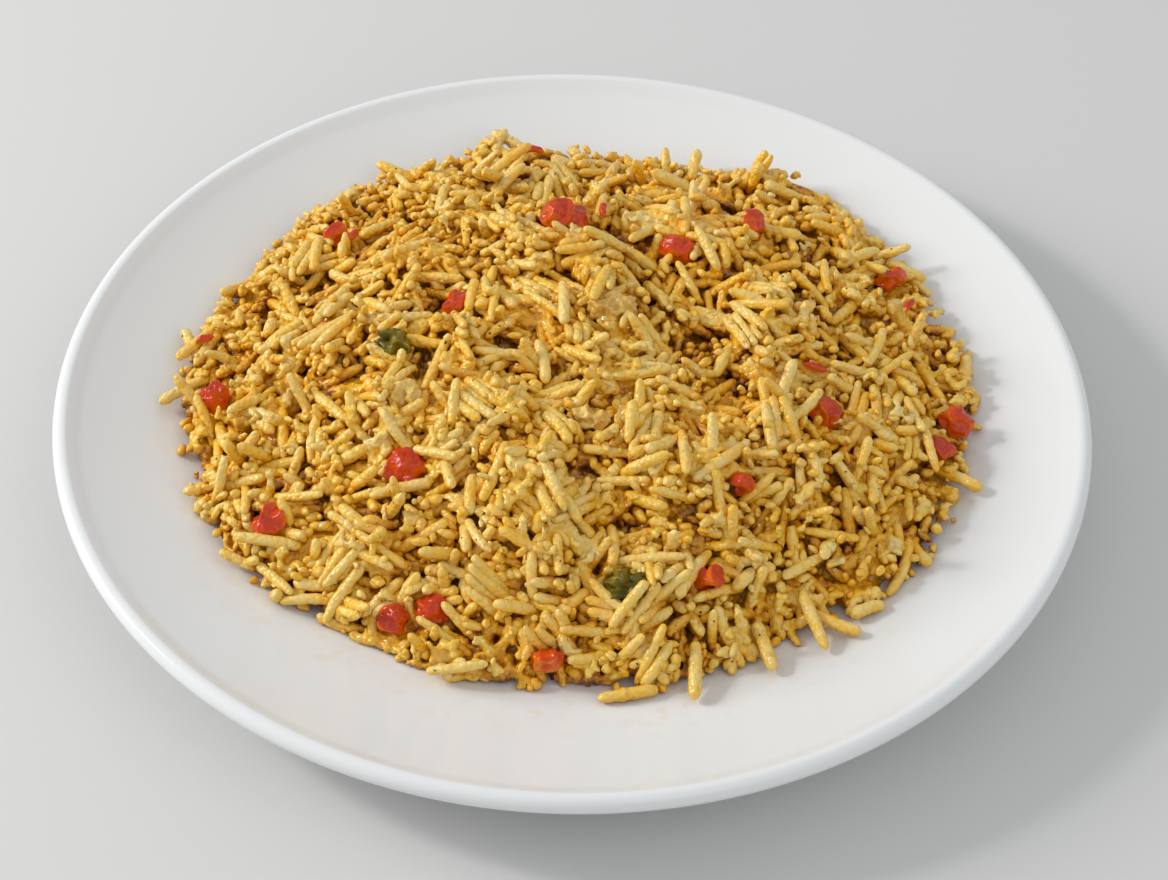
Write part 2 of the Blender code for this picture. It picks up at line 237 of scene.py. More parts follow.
section = plate_section()
plate_mesh = bpy.data.meshes.new("plate")
plate_mesh.from_pydata([(r, 0, z) for r, z in section], [(i, i + 1) for i in range(len(section) - 1)], [])
plate = add_piece("glazed_plate", plate_mesh, glaze.material, "white_glaze", "plate")
turn = plate.modifiers.new("turn", "SCREW")
turn.angle = 2 * math.pi
turn.steps = turn.render_steps = PLATE_TURNS
turn.use_merge_vertices = True
turn.merge_threshold = 0.00002
turn.use_smooth_shade = True
plain_mesh(plate)


# ---------------------------------------------------------------- packed rice
# The inside of the heap: cooked rice pressed together and held by its own starch and
# the coconut milk. It only shows, wet, down in the gaps between the grains, painted dark as shade.

HEAP_RADIUS = 93 * MM
HEAP_LOBES = ((1, 9.4 * MM, 84), (2, 3.4 * MM, 12), (5, 0.9 * MM, -95), (9, 1.0 * MM, 100))
HEAP_EDGE = 4.6 * MM
HEAP_RISE = 25.5 * MM
HEAP_POWER = 3.0
CLUMPS = ((22 * MM, 5.2 * MM, 0.0), (10 * MM, 5.0 * MM, 5.0))
MOUNDS = (
    (-25, 92, 9, 4.5),
    (54, 82, 8, 3.5),
    (52, 33, 12, 3.5),
    (-52, -2, 15, 2.0),
    (-10, 2, 10, 2.0),
    (32, -32, 10, 2.5),
    (62, -30, 9, 2.5),
    (-12, 42, 14, 2.0),
    (22, 28, 9, -4.0),
    (18, 5, 8, -3.0),
    (3, -12, 6, -4.0),
    (62, -2, 8, -3.5),
    (4, -53, 7, -3.0),
    (44, -60, 8, -3.5),
    (-33, -63, 9, -2.5),
    (12, 80, 9, -2.5),
)
PACKED_DEPTH = 4.6 * MM
PACKED_LUMP = 2.1 * MM
PACKED_INSET = 3.2 * MM
PLATE_GAP = 0.1 * MM
# How far below the heap's surface the painted shade in the gaps is darkest, and over what rise it fades out.
PAINTED_SHADE_DEPTH = 3.8 * MM
PAINTED_SHADE_FADE = 6.0 * MM
PIT_SIZE = 8.5 * MM
PIT_EDGE = -0.08
GRID_STEP = 0.5 * MM
GRID_REACH = 130 * MM


def heap_radius(angle):
    """Distance from the plate's middle to the heap's outline."""
    return HEAP_RADIUS + sum(
        size * np.cos(turns * angle - math.radians(crest)) for turns, size, crest in HEAP_LOBES
    )


def heap_dome(x, y):
    """The heap's height without its small clumps, and how far out it is as a share."""
    radius = np.hypot(x, y)
    share = np.minimum(1.0, radius / heap_radius(np.arctan2(y, x)))
    height = plate_top(radius) + HEAP_EDGE + HEAP_RISE * (1 - share**HEAP_POWER)
    for mound_x, mound_y, size, rise in MOUNDS:
        away = np.hypot(x - mound_x * MM, y - mound_y * MM) / (size * MM)
        height = height + rise * MM * np.exp(-away * away / 2)
    return height, share


grid_line = np.arange(-GRID_REACH, GRID_REACH + GRID_STEP / 2, GRID_STEP)
grid_x, grid_y = np.meshgrid(grid_line, grid_line, indexing="ij")
dome, out_share = heap_dome(grid_x, grid_y)
clumps = np.array([
    sum(rise * noise.noise(Vector((x / size, y / size, seed))) for size, rise, seed in CLUMPS)
    for x, y in zip(grid_x.ravel(), grid_y.ravel())
]).reshape(grid_x.shape)
heap_grid = dome + (1 - out_share**8) * clumps
heap_grid = np.where(out_share < 1, heap_grid, plate_top(np.hypot(grid_x, grid_y)))
# Heights that the painted shade is measured from. They partly follow the smooth dome, so hollows between the
# clumps are painted darker, as shade.
shade_base_grid = np.where(out_share < 1, 0.4 * dome + 0.6 * heap_grid, heap_grid)
slope_x, slope_y = np.gradient(dome, GRID_STEP)
slope_x[out_share >= 0.985] = slope_y[out_share >= 0.985] = 0


def read_grid(grid, x, y):
    """The grid's value at each point, blended between the four nearest."""
    at_x = np.clip((x + GRID_REACH) / GRID_STEP, 0, len(grid_line) - 1.001)
    at_y = np.clip((y + GRID_REACH) / GRID_STEP, 0, len(grid_line) - 1.001)
    i, j = at_x.astype(int), at_y.astype(int)
    u, v = at_x - i, at_y - j
    return (
        grid[i, j] * (1 - u) * (1 - v) + grid[i + 1, j] * u * (1 - v)
        + grid[i, j + 1] * (1 - u) * v + grid[i + 1, j + 1] * u * v
    )


def heap_normal(x, y):
    """The dome's outward direction at each point."""
    normal = np.stack([-read_grid(slope_x, x, y), -read_grid(slope_y, x, y), np.ones_like(x)], -1)
    return normal / np.linalg.norm(normal, axis=-1, keepdims=True)


def pit_share(x, y):
    """How much each point lies in one of the hollows between the clumps, 0 to 1."""
    found = np.array([
        noise.noise(Vector((a / PIT_SIZE, b / PIT_SIZE, 3.0))) for a, b in zip(np.ravel(x), np.ravel(y))
    ]).reshape(np.shape(x))
    return np.clip((PIT_EDGE - found) / 0.22, 0, 1)


def store_place(mesh):
    """Keeps two shares of each point, from which the finishes paint shade and light: how far out of the heap
    it is, and how much it faces out.
    """
    points = np.empty(len(mesh.vertices) * 3, np.float32)
    mesh.vertices.foreach_get("co", points)
    x, y, z = points.reshape(-1, 3).T.astype(float)
    base = np.maximum(read_grid(shade_base_grid, x, y), plate_top(np.hypot(x, y)) + 2 * MM)
    outward = heap_normal(x, y)
    out = np.clip(((z - base) * outward[:, 2] + PAINTED_SHADE_DEPTH) / PAINTED_SHADE_FADE, 0, 1)
    normals = np.empty(len(mesh.vertices) * 3, np.float32)
    mesh.vertices.foreach_get("normal", normals)
    crest = np.clip((normals.reshape(-1, 3) * outward).sum(-1), 0, 1)
    for name, share in (("outer", out), ("crest", crest)):
        mesh.attributes.new(name, "FLOAT", "POINT").data.foreach_set("value", share.astype(np.float32))
    return mesh


def packed_rice_mesh(around=300, across=100):
    """A lumpy shell below the loose grains, closed underneath along the plate."""
    angles = np.linspace(0, 2 * math.pi, around, endpoint=False)
    shares = np.linspace(0, 1, across + 1)[1:] ** 0.75
    outline = heap_radius(angles) - PACKED_INSET
    points, faces = [], []
    top_x, top_y = np.outer(shares, outline * np.cos(angles)), np.outer(shares, outline * np.sin(angles))
    lowest = plate_top(np.hypot(top_x, top_y)) + 0.3 * MM
    sunk = read_grid(heap_grid, top_x, top_y) - PACKED_DEPTH / heap_normal(top_x, top_y)[..., 2]
    sunk -= 1.0 * MM + 1.2 * MM * pit_share(top_x, top_y)
    for ring_x, ring_y, ring_z, ring_low in zip(top_x, top_y, sunk, lowest):
        for x, y, z, low in zip(ring_x, ring_y, ring_z, ring_low):
            spot = Vector((x, y, z))
            lump = noise.noise(spot / PACKED_LUMP) + 0.6 * noise.noise(spot / (1.0 * MM))
            points.append((x, y, max(low, z + 1.1 * MM * lump)))
    for x, y in zip(top_x[-1], top_y[-1]):
        points.append((x, y, plate_top(math.hypot(x, y)) + PLATE_GAP))
    rings = across + 1
    for above in range(0, (rings - 1) * around, around):
        below = above + around
        for i in range(around):
            j = (i + 1) % around
            faces.append((above + i, below + i, below + j, above + j))
    centre, bottom = len(points), len(points) + 1
    points += [(0, 0, float(read_grid(heap_grid, np.zeros(1), np.zeros(1))[0]) - PACKED_DEPTH)]
    points += [(0, 0, PLATE_FLOOR_HEIGHT + PLATE_GAP)]
    last = (rings - 1) * around
    under = []
    for r in (78 * MM, 70 * MM, 62 * MM):
        under.append(len(points))
        points += [(r * math.cos(a), r * math.sin(a), float(plate_top(r)) + PLATE_GAP) for a in angles]
    for outer, inner in zip([last, *under], under):
        for i in range(around):
            j = (i + 1) % around
            faces.append((outer + i, inner + i, inner + j, outer + j))
    for i in range(around):
        j = (i + 1) % around
        faces += [(centre, i, j), (under[-1] + i, bottom, under[-1] + j)]
    mesh = bpy.data.meshes.new("packed rice")
    mesh.from_pydata(points, [], faces)
    return mesh


# ---------------------------------------------------------------- tomato, chilli, onion
# Diced vegetables that were fried with the rice: soft wet cubes with collapsed edges.
# They lie between the grains, partly sunk and partly covered by them.

PIECE_ROOT = 2.6 * MM
PIECE_VOXEL = 0.42 * MM


def vegetable_mesh(nodes, lump, wrinkle):
    """The diced pieces of one kind: each CAD solid, rooted deeper and made uneven."""
    whole = bmesh.new()
    for node in nodes:
        points = [v.co.copy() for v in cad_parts[node].data.vertices]
        middle = sum(points, Vector()) / len(points)
        inward = -Vector(heap_normal(np.array([middle.x]), np.array([middle.y]))[0])
        hull = bmesh.new()
        for point in points + [p + inward * PIECE_ROOT for p in points]:
            low = float(plate_top(math.hypot(point.x, point.y))) + 0.4 * MM
            hull.verts.new((point.x, point.y, max(point.z, low)))
        found = bmesh.ops.convex_hull(hull, input=hull.verts)
        loose = set(found["geom_interior"]) | set(found["geom_unused"])
        bmesh.ops.delete(hull, geom=[g for g in loose if isinstance(g, bmesh.types.BMVert)], context="VERTS")
        shell = bpy.data.meshes.new("shell")
        hull.to_mesh(shell)
        hull.free()
        obj = bpy.data.objects.new("shell", shell)
        bpy.context.scene.collection.objects.link(obj)
        voxels = obj.modifiers.new("even faces", "REMESH")
        voxels.mode = "VOXEL"
        voxels.voxel_size = PIECE_VOXEL
        soften = obj.modifiers.new("collapsed edges", "SMOOTH")
        soften.factor, soften.iterations = 0.5, 3
        plain_mesh(obj)
        part = bmesh.new()
        part.from_mesh(obj.data)
        part.normal_update()
        shifts = []
        for vert in part.verts:
            big = (0.3 - abs(noise.noise(vert.co / (4.2 * MM))) * 2.2) * lump
            small = noise.turbulence(vert.co / (1.3 * MM), 2, False) * wrinkle
            shifts.append(vert.normal * (big + small))
        for vert, shift in zip(part.verts, shifts):
            vert.co += shift
        part.to_mesh(obj.data)
        part.free()
        whole.from_mesh(obj.data)
        bpy.data.objects.remove(obj, do_unlink=True)
    mesh = bpy.data.meshes.new("vegetable")
    whole.to_mesh(mesh)
    whole.free()
    return store_place(mesh)


def nodes_named(kind):
    return sorted(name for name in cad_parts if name.startswith(kind))


tomato = Finish("tomato")
# Painted light: the sides of each piece, which face away from the heap's outside, are painted orange as
# light shining through the thin flesh, and the tops deeper red.
rim = tomato.math("MULTIPLY_ADD", tomato.attribute("crest"), -0.45, 0.75)
tomato_tone = tomato.colours(
    tomato.math("ADD", rim, tomato.math("MULTIPLY_ADD", tomato.noise(3.5 * MM, 3, seed=1.0), 0.8, -0.4)),
    (0.20, (0.44, 0.026, 0.0005, 1)),
    (0.45, (0.60, 0.046, 0.0005, 1)),
    (0.70, (0.74, 0.130, 0.0015, 1)),
    (0.90, (0.82, 0.270, 0.006, 1)),
)
tomato.set(
    base_color=tomato_tone,
    roughness=tomato.ramp(tomato.noise(1.5 * MM, 2), 0.35, 0.65, 0.05, 0.14),
    specular_ior_level=0.45,
    subsurface_weight=0.12,
    subsurface_radius=(1.0, 0.18, 0.04),
    subsurface_scale=1.0 * MM,
    normal=tomato.bump(tomato.noise(1.1 * MM, 2), 0.70 * MM, 1.0),
)
add_piece(
    "diced_tomato", vegetable_mesh(nodes_named("tomato"), 1.3 * MM, 0.4 * MM),
    tomato.material, "tomato", *nodes_named("tomato"),
)

chilli = Finish("green chilli")
chilli_tone = chilli.colours(
    chilli.noise(2.4 * MM, 4, seed=2.0),
    (0.32, (0.055, 0.045, 0.002, 1)),
    (0.50, (0.150, 0.112, 0.003, 1)),
    (0.66, (0.30, 0.23, 0.018, 1)),
    (0.78, (0.72, 0.52, 0.14, 1)),
)
chilli.set(
    base_color=chilli_tone,
    roughness=0.22,
    specular_ior_level=0.35,
    normal=chilli.bump(chilli.noise(0.7 * MM, 3), 0.5 * MM, 1.0),
)
add_piece(
    "green_chilli", vegetable_mesh(nodes_named("chilli"), 2.2 * MM, 0.7 * MM),
    chilli.material, "chilli", *nodes_named("chilli"),
)

onion = Finish("cooked onion")
onion_tone = onion.colours(
    onion.noise(4 * MM, 3, seed=3.0),
    (0.30, (0.62, 0.34, 0.05, 1)),
    (0.60, (0.80, 0.53, 0.12, 1)),
    (0.78, (0.86, 0.68, 0.28, 1)),
)
onion.set(
    base_color=onion_tone,
    roughness=0.22,
    subsurface_weight=0.3,
    subsurface_radius=(1.0, 0.9, 0.7),
    subsurface_scale=1.0 * MM,
    coat_weight=0.4,
    coat_roughness=0.05,
    normal=onion.bump(onion.noise(0.5 * MM, 3), 0.42 * MM, 1.0),
)
add_piece(
    "cooked_onion", vegetable_mesh(nodes_named("onion"), 1.8 * MM, 0.8 * MM),
    onion.material, "onion", *nodes_named("onion"),
)


# ---------------------------------------------------------------- grains of rice
# Long-grain rice boiled in coconut milk: slightly bent spindles with blunt ends, many of
# them broken. The lowest have stuck together into one mass, and the others lie over and
# between each other as they fell from the spoon.

WHOLE_LENGTHS = (11.0 * MM, 16.2 * MM)
BROKEN_LENGTHS = (3.4 * MM, 8.0 * MM)
GRAIN_RADII = (1.10 * MM, 1.50 * MM)
OVERHANG = 3.0 * MM
BEADS = 5
BEND = 0.020
TAPER = (0.05, 0.42)
LAYERS = (
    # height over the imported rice, number, share broken, tilt in degrees
    (1.2 * MM, 640, 0.45, 20),
    (3.4 * MM, 900, 0.50, 36),
    (6.0 * MM, 740, 0.44, 40),
    (8.2 * MM, 240, 0.20, 30),
)
PIT_LIMITS = (2.0, 0.75, 0.35, 0.05)
PIT_DROP = 2.8 * MM
BUNDLED = 0.26
BUNDLE_GAP = 2.7 * MM
EDGE_GRAIN_RADIUS = 1.5 * MM
DRIFT = 2.2 * MM
FRAGMENTS = 3800
RIM_FRAGMENTS = 420
FRAGMENT_RADII = (0.75 * MM, 1.30 * MM)
FRAGMENT_DROP = 3.2 * MM
FRAGMENT_CLEAR = 2.8 * MM
EDGE_GRAINS = (
    # tip x, y and height over the plate, direction it points in, length, rise in degrees
    (-98, 25, 3.5, 118, 13, 8),
    (-101, 0, 2.4, 215, 14, -4),
    (-54, 87, 6.5, 158, 12, 12),
    (-92, -28, 2.2, 192, 12, 0),
    (-24, 100, 7.5, 150, 12, 10),
    (-20, 100, 8.5, 60, 11, 12),
    (97, 20, 7.0, 82, 13, 35),
    (98, -22, 2.8, -28, 15, 0),
    (73, 69, 6.5, 45, 12, 12),
    (54, 87, 7.5, 62, 11, 15),
    (31, 96, 7.0, 80, 10, 18),
    (76, -47, 2.4, -68, 15, -8),
    (84, -45, 2.0, -58, 12, -2),
    (73, -56, 1.8, 26, 9, 0),
    (67, -66, 1.8, -27, 13, 0),
    (59, -71, 2.0, -70, 16, -12),
    (47, -77, 2.0, -73, 13, -8),
    (29, -86, 2.0, -91, 15, -10),
    (23, -81, 2.2, -55, 17, -14),
    (21, -82, 1.8, 13, 14, 0),
    (-26, -81, 1.8, -63, 11, 0),
    (-45, -69, 3.0, -107, 16, -18),
    (-64, -60, 2.2, -120, 11, -6),
)
ROUNDS = 90
PULL = 0.12 * MM
OVERLAP = 0.86
NEAREST = 4.2 * MM
VEGETABLE_BEAD = 1.4 * MM
SHOWN = (("tomato", 0.50), ("chilli", 0.30), ("onion", 0.40))
MASS_VOXEL = 0.76 * MM
MASS_CUTS = (-1.0, -38 * MM, 0.0, 38 * MM, 1.0)
GOLDEN_ANGLE = math.pi * (3 - math.sqrt(5))
draw = np.random.default_rng(21)


def unit(vectors):
    return vectors / np.maximum(np.linalg.norm(vectors, axis=-1, keepdims=True), 1e-12)


def lay_grains():
    """Centres, directions, lengths and radii of the grains before they settle."""
    centres, directions, lengths, radii, held, layer = [], [], [], [], [], []
    for level, (height, number, broken_share, tilt) in enumerate(LAYERS):
        order = np.arange(number)
        angle = order * GOLDEN_ANGLE + draw.uniform(0, 2 * math.pi)
        reach = (heap_radius(angle) - 1.2 * MM) * np.sqrt((order + 0.5) / number)
        x = reach * np.cos(angle) + draw.normal(0, 1.4 * MM, number)
        y = reach * np.sin(angle) + draw.normal(0, 1.4 * MM, number)
        normal = heap_normal(x, y)
        z = np.maximum(
            read_grid(heap_grid, x, y) - PACKED_DEPTH, plate_top(np.hypot(x, y))
        ) + height
        z -= PIT_DROP * pit_share(x, y)
        heading = draw.uniform(0, 2 * math.pi, number)
        along = np.stack([np.cos(heading), np.sin(heading), np.zeros(number)], -1)
        along = unit(along - normal * (along * normal).sum(-1, keepdims=True))
        lean = np.radians(draw.normal(0, tilt, number))[:, None]
        along = along * np.cos(lean) + normal * np.sin(lean)
        broken = draw.random(number) < broken_share
        length = np.where(
            broken, draw.uniform(*BROKEN_LENGTHS, number), draw.uniform(*WHOLE_LENGTHS, number)
        )
        # Neighbours that stuck together in the pot lie side by side
        taken = broken.copy()
        for i in np.flatnonzero(~broken & (draw.random(number) < BUNDLED)):
            if taken[i]:
                continue
            taken[i] = True
            near = np.argsort(np.hypot(x - x[i], y - y[i]))[1:7]
            side = np.cross(normal[i], along[i])
            for order_in, j in enumerate(near[~taken[near]][: draw.integers(1, 4)]):
                taken[j] = True
                aside = BUNDLE_GAP * (order_in // 2 + 1) * (-1) ** order_in
                slip = draw.normal(0, 2.2 * MM)
                along[j] = unit(along[i] + draw.normal(0, 0.07, 3))
                x[j] = x[i] + side[0] * aside + along[i][0] * slip
                y[j] = y[i] + side[1] * aside + along[i][1] * slip
                z[j] = z[i] + side[2] * aside + along[i][2] * slip
        radius = draw.uniform(*GRAIN_RADII, number)
        stays = pit_share(x, y) < PIT_LIMITS[level]
        centres.append(np.stack([x, y, z], -1)[stays])
        directions.append(along[stays])
        lengths.append(length[stays])
        radii.append(radius[stays])
        held.append(np.zeros(stays.sum(), bool))
        layer.append(np.full(stays.sum(), level))
    for x, y, above, heading, length, rise in EDGE_GRAINS:
        heading, rise = math.radians(heading), math.radians(rise)
        along = np.array([
            math.cos(heading) * math.cos(rise), math.sin(heading) * math.cos(rise), math.sin(rise)
        ])
        tip = np.array([x, y, above]) * MM
        tip[2] += plate_top(math.hypot(tip[0], tip[1]))
        centres.append([tip - along * length / 2 * MM])
        directions.append([along])
        lengths.append([length * MM])
        radii.append([EDGE_GRAIN_RADIUS])
        held.append([True])
        layer.append([len(LAYERS)])
    return [np.concatenate(part) for part in (centres, directions, lengths, radii, held, layer)]


def near_pairs(points, reach):
    """Every pair of points closer than reach, found through a grid of cells."""
    cell = np.floor((points - points.min(0)) / reach).astype(np.int64) + 1
    size = cell.max(0) + 2
    key = (cell[:, 0] * size[1] + cell[:, 1]) * size[2] + cell[:, 2]
    order = np.argsort(key, kind="stable")
    names, starts, counts = np.unique(key[order], return_index=True, return_counts=True)
    steps = [
        (i, j, k) for i in (-1, 0, 1) for j in (-1, 0, 1) for k in (-1, 0, 1) if (i, j, k) >= (0, 0, 0)
    ]
    first, second = [], []
    for i, j, k in steps:
        wanted = key + (i * size[1] + j) * size[2] + k
        slot = np.minimum(np.searchsorted(names, wanted), len(names) - 1)
        found = np.flatnonzero(names[slot] == wanted)
        many = counts[slot[found]]
        a = np.repeat(found, many)
        ahead = np.arange(many.sum()) - np.repeat(np.cumsum(many) - many, many)
        b = order[np.repeat(starts[slot[found]], many) + ahead]
        keep = a < b if (i, j, k) == (0, 0, 0) else np.ones(len(a), bool)
        a, b = a[keep], b[keep]
        close = ((points[a] - points[b]) ** 2).sum(-1) < reach * reach
        first.append(a[close])
        second.append(b[close])
    return np.concatenate(first), np.concatenate(second)


def vegetable_beads():
    """Balls that fill the vegetables, so that the grains lie round them."""
    balls = []
    for kind in ("tomato", "chilli", "onion"):
        for node in nodes_named(kind):
            points = np.array([v.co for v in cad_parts[node].data.vertices])
            points = np.unique(np.round(points, 5), axis=0)
            middle = points.mean(0)
            inward = -heap_normal(middle[:1], middle[1:2])[0]
            shrunk = middle + (points - middle) * 0.55
            balls += [shrunk, shrunk + inward * 2 * MM]
    return np.concatenate(balls)


def over_vegetables(beads):
    """Which grains lie across the middle of a vegetable, where it has to show."""
    over = np.zeros(len(beads), bool)
    for kind, part in SHOWN:
        for node in nodes_named(kind):
            points = np.array([v.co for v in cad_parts[node].data.vertices])
            middle = (points.min(0) + points.max(0)) / 2
            size = (points.max(0) - points.min(0))[:2].mean() / 2
            outward = heap_normal(middle[:1], middle[1:2])[0]
            # Seen from where the serving is looked at, a little towards the front
            outward = unit(outward + np.array([0, -0.5, 0.3]))
            away = beads - middle
            height = away @ outward
            aside = np.linalg.norm(away - height[..., None] * outward, axis=-1)
            over |= ((height > -0.5 * MM) & (aside < part * size + 0.9 * MM)).any(1)
    return over


def settle(centres, directions, lengths, radii, held):
    """Presses the grains onto the heap and out of each other, keeping each one's shape."""
    count = len(centres)
    places = np.linspace(-1, 1, BEADS)
    curve = places**2 - (places**2).mean()
    half = np.maximum(lengths / 2 - radii, 0.3 * MM)
    bend_way = unit(np.cross(directions, unit(draw.normal(size=(count, 3)))))
    bend = bend_way * (np.abs(draw.normal(0, BEND, count)) * lengths)[:, None]
    beads = (
        centres[:, None] + places[None, :, None] * (directions * half[:, None])[:, None]
        + curve[None, :, None] * bend[:, None]
    )
    fixed = vegetable_beads()
    owner = np.concatenate([np.repeat(np.arange(count), BEADS), np.full(len(fixed), -1)])
    thick = np.concatenate([np.repeat(radii, BEADS), np.full(len(fixed), VEGETABLE_BEAD)])
    moves = np.concatenate([np.repeat(~held, BEADS), np.zeros(len(fixed), bool)])
    free = ~held[:, None, None]
    for turn in range(ROUNDS):
        points = np.concatenate([beads.reshape(-1, 3), fixed])
        if turn % 6 == 0:
            a, b = near_pairs(points, NEAREST)
            keep = (owner[a] != owner[b]) & (moves[a] | moves[b])
            a, b = a[keep], b[keep]
            weight_a = np.where(moves[b], 0.5, 1.0) * moves[a]
            weight_b = np.where(moves[a], 0.5, 1.0) * moves[b]
        apart = points[a] - points[b]
        distance = np.linalg.norm(apart, axis=-1)
        deep = np.maximum((thick[a] + thick[b]) * OVERLAP - distance, 0)
        push = apart / np.maximum(distance, 1e-6)[:, None] * deep[:, None]
        shift = np.zeros_like(points)
        pressed = np.concatenate([a[deep > 0], b[deep > 0]])
        touch = np.bincount(pressed, minlength=len(points))
        for axis in range(3):
            shift[:, axis] += np.bincount(a, push[:, axis] * weight_a, len(points))
            shift[:, axis] -= np.bincount(b, push[:, axis] * weight_b, len(points))
        shift /= np.maximum(touch, 2)[:, None] / 1.6
        moved = beads + shift[: count * BEADS].reshape(count, BEADS, 3)
        normal = heap_normal(moved[..., 0], moved[..., 1])
        strength = PULL * max(0.0, 1 - turn / (ROUNDS * 0.75))
        moved -= normal.mean(1, keepdims=True) * strength
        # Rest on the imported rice, or on the plate outside it
        surface = read_grid(heap_grid, moved[..., 0], moved[..., 1])
        above = (moved[..., 2] - surface) * normal[..., 2] + PACKED_DEPTH - 0.6 * radii[:, None]
        moved += normal * np.maximum(-above, 0)[..., None]
        clear = moved[..., 2] - plate_top(np.hypot(moved[..., 0], moved[..., 1])) - 1.04 * radii[:, None]
        moved[..., 2] += np.maximum(-clear, 0)
        # Keep each grain a bent spindle of its own length
        middle = moved.mean(1)
        drift = middle - centres
        drift -= normal.mean(1) * (drift * normal.mean(1)).sum(-1, keepdims=True)
        run = np.linalg.norm(drift, axis=-1, keepdims=True)
        middle -= drift * np.maximum(0, 1 - DRIFT / np.maximum(run, 1e-9))
        way = unit((moved * places[None, :, None]).sum(1))
        arch = (moved * curve[None, :, None]).sum(1) / (curve**2).sum()
        arch -= way * (arch * way).sum(-1, keepdims=True)
        most = np.linalg.norm(bend, axis=-1, keepdims=True) + 0.012 * lengths[:, None]
        size = np.linalg.norm(arch, axis=-1, keepdims=True)
        arch *= np.minimum(1, most / np.maximum(size, 1e-9))
        settled = (
            middle[:, None] + places[None, :, None] * (way * half[:, None])[:, None]
            + curve[None, :, None] * arch[:, None]
        )
        beads = np.where(free, settled, beads)
    return beads


def spines(beads, lengths, radii, inner):
    """Each grain as points along it, inner of them between its ends, with its thickness at each."""
    count = len(beads)
    places = np.linspace(-1, 1, BEADS)
    curve = places**2 - (places**2).mean()
    half = np.maximum(lengths / 2 - radii, 0.3 * MM)
    middle = beads.mean(1)
    way = unit((beads * places[None, :, None]).sum(1))
    arch = (beads * curve[None, :, None]).sum(1) / (curve**2).sum()
    from_tip = np.array([0.05, 0.30, 0.85])[None, :] * radii[:, None]
    ends = lengths[:, None] / 2 - from_tip
    ends[:, 2] = np.maximum(ends[:, 2], lengths * 0.25)
    between = ends[:, 2:] * np.linspace(-1, 1, inner + 2)[None, 1:-1]
    at = np.concatenate([-ends, between, ends[:, ::-1]], 1)
    share = at / half[:, None]
    tip = np.maximum(1 - from_tip / radii[:, None], 0)
    round_off = np.sqrt(1 - np.minimum(tip, 0.999) ** 2)
    thick = np.concatenate([round_off, np.ones((count, inner)), round_off[:, ::-1]], 1)
    along = at / at[:, -1:]
    taper = np.where(along < 0, draw.uniform(*TAPER, (count, 1)), draw.uniform(*TAPER, (count, 1)))
    thick *= (1 - taper * np.abs(along) ** 2.4) * draw.normal(1, 0.055, thick.shape)
    points = middle[:, None] + share[..., None] * (way * half[:, None])[:, None]
    points += (np.minimum(share**2, 1.6) - (places**2).mean())[..., None] * arch[:, None]
    return points, thick * radii[:, None] * 1.04


def lay_fragments():
    """Spines and thickness of the crumbled ends that stick in between the grains."""
    angle = draw.uniform(0, 2 * math.pi, FRAGMENTS)
    share = np.sqrt(draw.random(FRAGMENTS))
    share[:RIM_FRAGMENTS] = draw.uniform(0.94, 1.02, RIM_FRAGMENTS)
    reach = (heap_radius(angle) - 0.5 * MM) * share
    x, y = reach * np.cos(angle), reach * np.sin(angle)
    radius = draw.uniform(*FRAGMENT_RADII, FRAGMENTS)
    length = radius * draw.uniform(2.0, 4.4, FRAGMENTS)
    low = plate_top(np.hypot(x, y)) + radius
    sunk = np.clip(draw.normal(-0.6, 1.3, FRAGMENTS), -3.4, 1.8) * MM
    z = np.maximum(read_grid(heap_grid, x, y) + sunk, low)
    z = np.maximum(z - FRAGMENT_DROP * pit_share(x, y), low)
    middle = np.stack([x, y, z], -1)
    way = unit(draw.normal(size=(FRAGMENTS, 3)) * (1, 1, 0.8))
    fixed = vegetable_beads()
    clear = np.array([((fixed - point) ** 2).sum(-1).min() for point in middle]) > FRAGMENT_CLEAR**2
    middle, way, length, radius = middle[clear], way[clear], length[clear], radius[clear]
    thick = np.array([0.25, 0.80, 1.0, 0.95, 0.72, 0.22]) * draw.normal(1, 0.09, (len(radius), 6))
    at = np.array([-0.98, -0.72, -0.25, 0.25, 0.72, 0.98]) * length[:, None] / 2
    points = middle[:, None] + at[..., None] * way[:, None]
    points[..., 2] = np.maximum(
        points[..., 2], plate_top(np.hypot(points[..., 0], points[..., 1])) + radius[:, None]
    )
    return points, thick * radius[:, None]


def tree_for(name, inputs):
    """A new geometry tree with named inputs."""
    tree = bpy.data.node_groups.new(name, "GeometryNodeTree")
    tree.interface.new_socket("Geometry", in_out="INPUT", socket_type="NodeSocketGeometry")
    tree.interface.new_socket("Geometry", in_out="OUTPUT", socket_type="NodeSocketGeometry")
    for title, kind, value in inputs:
        made = tree.interface.new_socket(title, in_out="INPUT", socket_type=kind)
        if value is not None:
            made.default_value = value
    return tree, tree.nodes.new("NodeGroupInput"), tree.nodes.new("NodeGroupOutput")


def join_nodes(tree, *links):
    for source, target in links:
        tree.links.new(source, target)


def named_attribute(tree, name, kind="FLOAT"):
    node = tree.nodes.new("GeometryNodeInputNamedAttribute")
    node.data_type = kind
    node.inputs["Name"].default_value = name
    return node.outputs["Attribute"]


